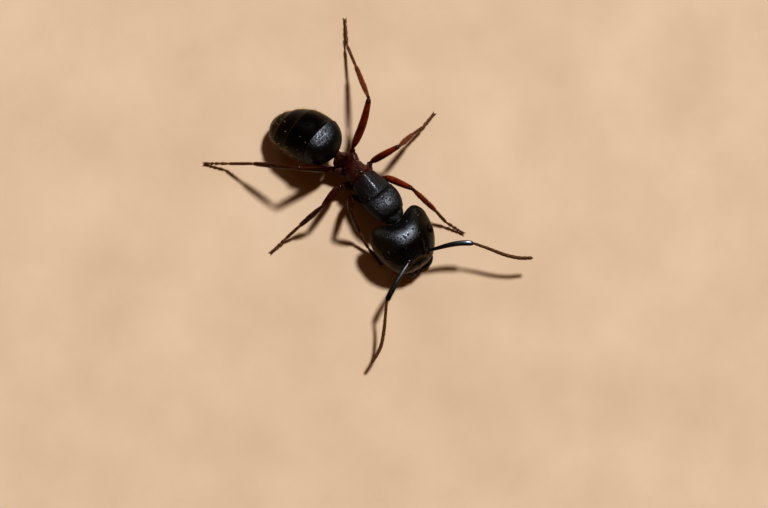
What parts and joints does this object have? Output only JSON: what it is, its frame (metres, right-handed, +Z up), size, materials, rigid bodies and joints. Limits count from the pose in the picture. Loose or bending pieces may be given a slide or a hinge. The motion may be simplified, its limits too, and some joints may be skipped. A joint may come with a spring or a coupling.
{
  "type": "carpenter ant",
  "caption": "Life-size still model of a large-headed worker carpenter ant standing on all feet, head lowered, feelers spread forward.",
  "frame": {"origin": "under the middle of the whole animal's box, at the level of the feet", "axes": "+Z up, -Y the way the ant faces, +X to its left"},
  "size_m": [0.0134, 0.0188, 0.0042],
  "materials": {
    "black_shell": "glossy black body shell with fine pits and pale hairs",
    "satin_shell": "satin charcoal trunk shell, finely netted",
    "wine_shell": "dark reddish brown shell of the waist and hips",
    "leg_shell": "deep mahogany red-brown leg shell",
    "foot_shell": "dark brown feelers and feet",
    "eye": "black faceted eye"
  },
  "bodies": {
    "root": {"coxa_front_left": "wine_shell", "coxa_front_right": "wine_shell", "coxa_hind_left": "wine_shell", "coxa_hind_right": "wine_shell", "coxa_mid_left": "wine_shell", "coxa_mid_right": "wine_shell", "eye_left": "eye", "eye_right": "eye", "femur_front_left": "leg_shell", "femur_front_right": "leg_shell", "femur_hind_left": "leg_shell", "femur_hind_right": "leg_shell", "femur_mid_left": "leg_shell", "femur_mid_right": "leg_shell", "foot_front_left": "foot_shell", "foot_front_right": "foot_shell", "foot_hind_left": "foot_shell", "foot_hind_right": "foot_shell", "foot_mid_left": "foot_shell", "foot_mid_right": "foot_shell", "funiculus_base_left": "foot_shell", "funiculus_base_right": "foot_shell", "funiculus_tip_left": "foot_shell", "funiculus_tip_right": "foot_shell", "gaster_first": "black_shell", "gaster_fourth": "black_shell", "gaster_second": "black_shell", "gaster_third": "black_shell", "gaster_tip": "black_shell", "head": "black_shell", "mandible_left": "black_shell", "mandible_right": "black_shell", "mesothorax": "satin_shell", "metatarsus_front_left": "foot_shell", "metatarsus_front_right": "foot_shell", "metatarsus_hind_left": "foot_shell", "metatarsus_hind_right": "foot_shell", "metatarsus_mid_left": "foot_shell", "metatarsus_mid_right": "foot_shell", "neck": "satin_shell", "petiole": "wine_shell", "pronotum": "satin_shell", "propodeum": "wine_shell", "scape_left": "black_shell", "scape_right": "black_shell", "tibia_front_left": "leg_shell", "tibia_front_right": "leg_shell", "tibia_hind_left": "leg_shell", "tibia_hind_right": "leg_shell", "tibia_mid_left": "leg_shell", "tibia_mid_right": "leg_shell"}
  },
  "joints": []
}
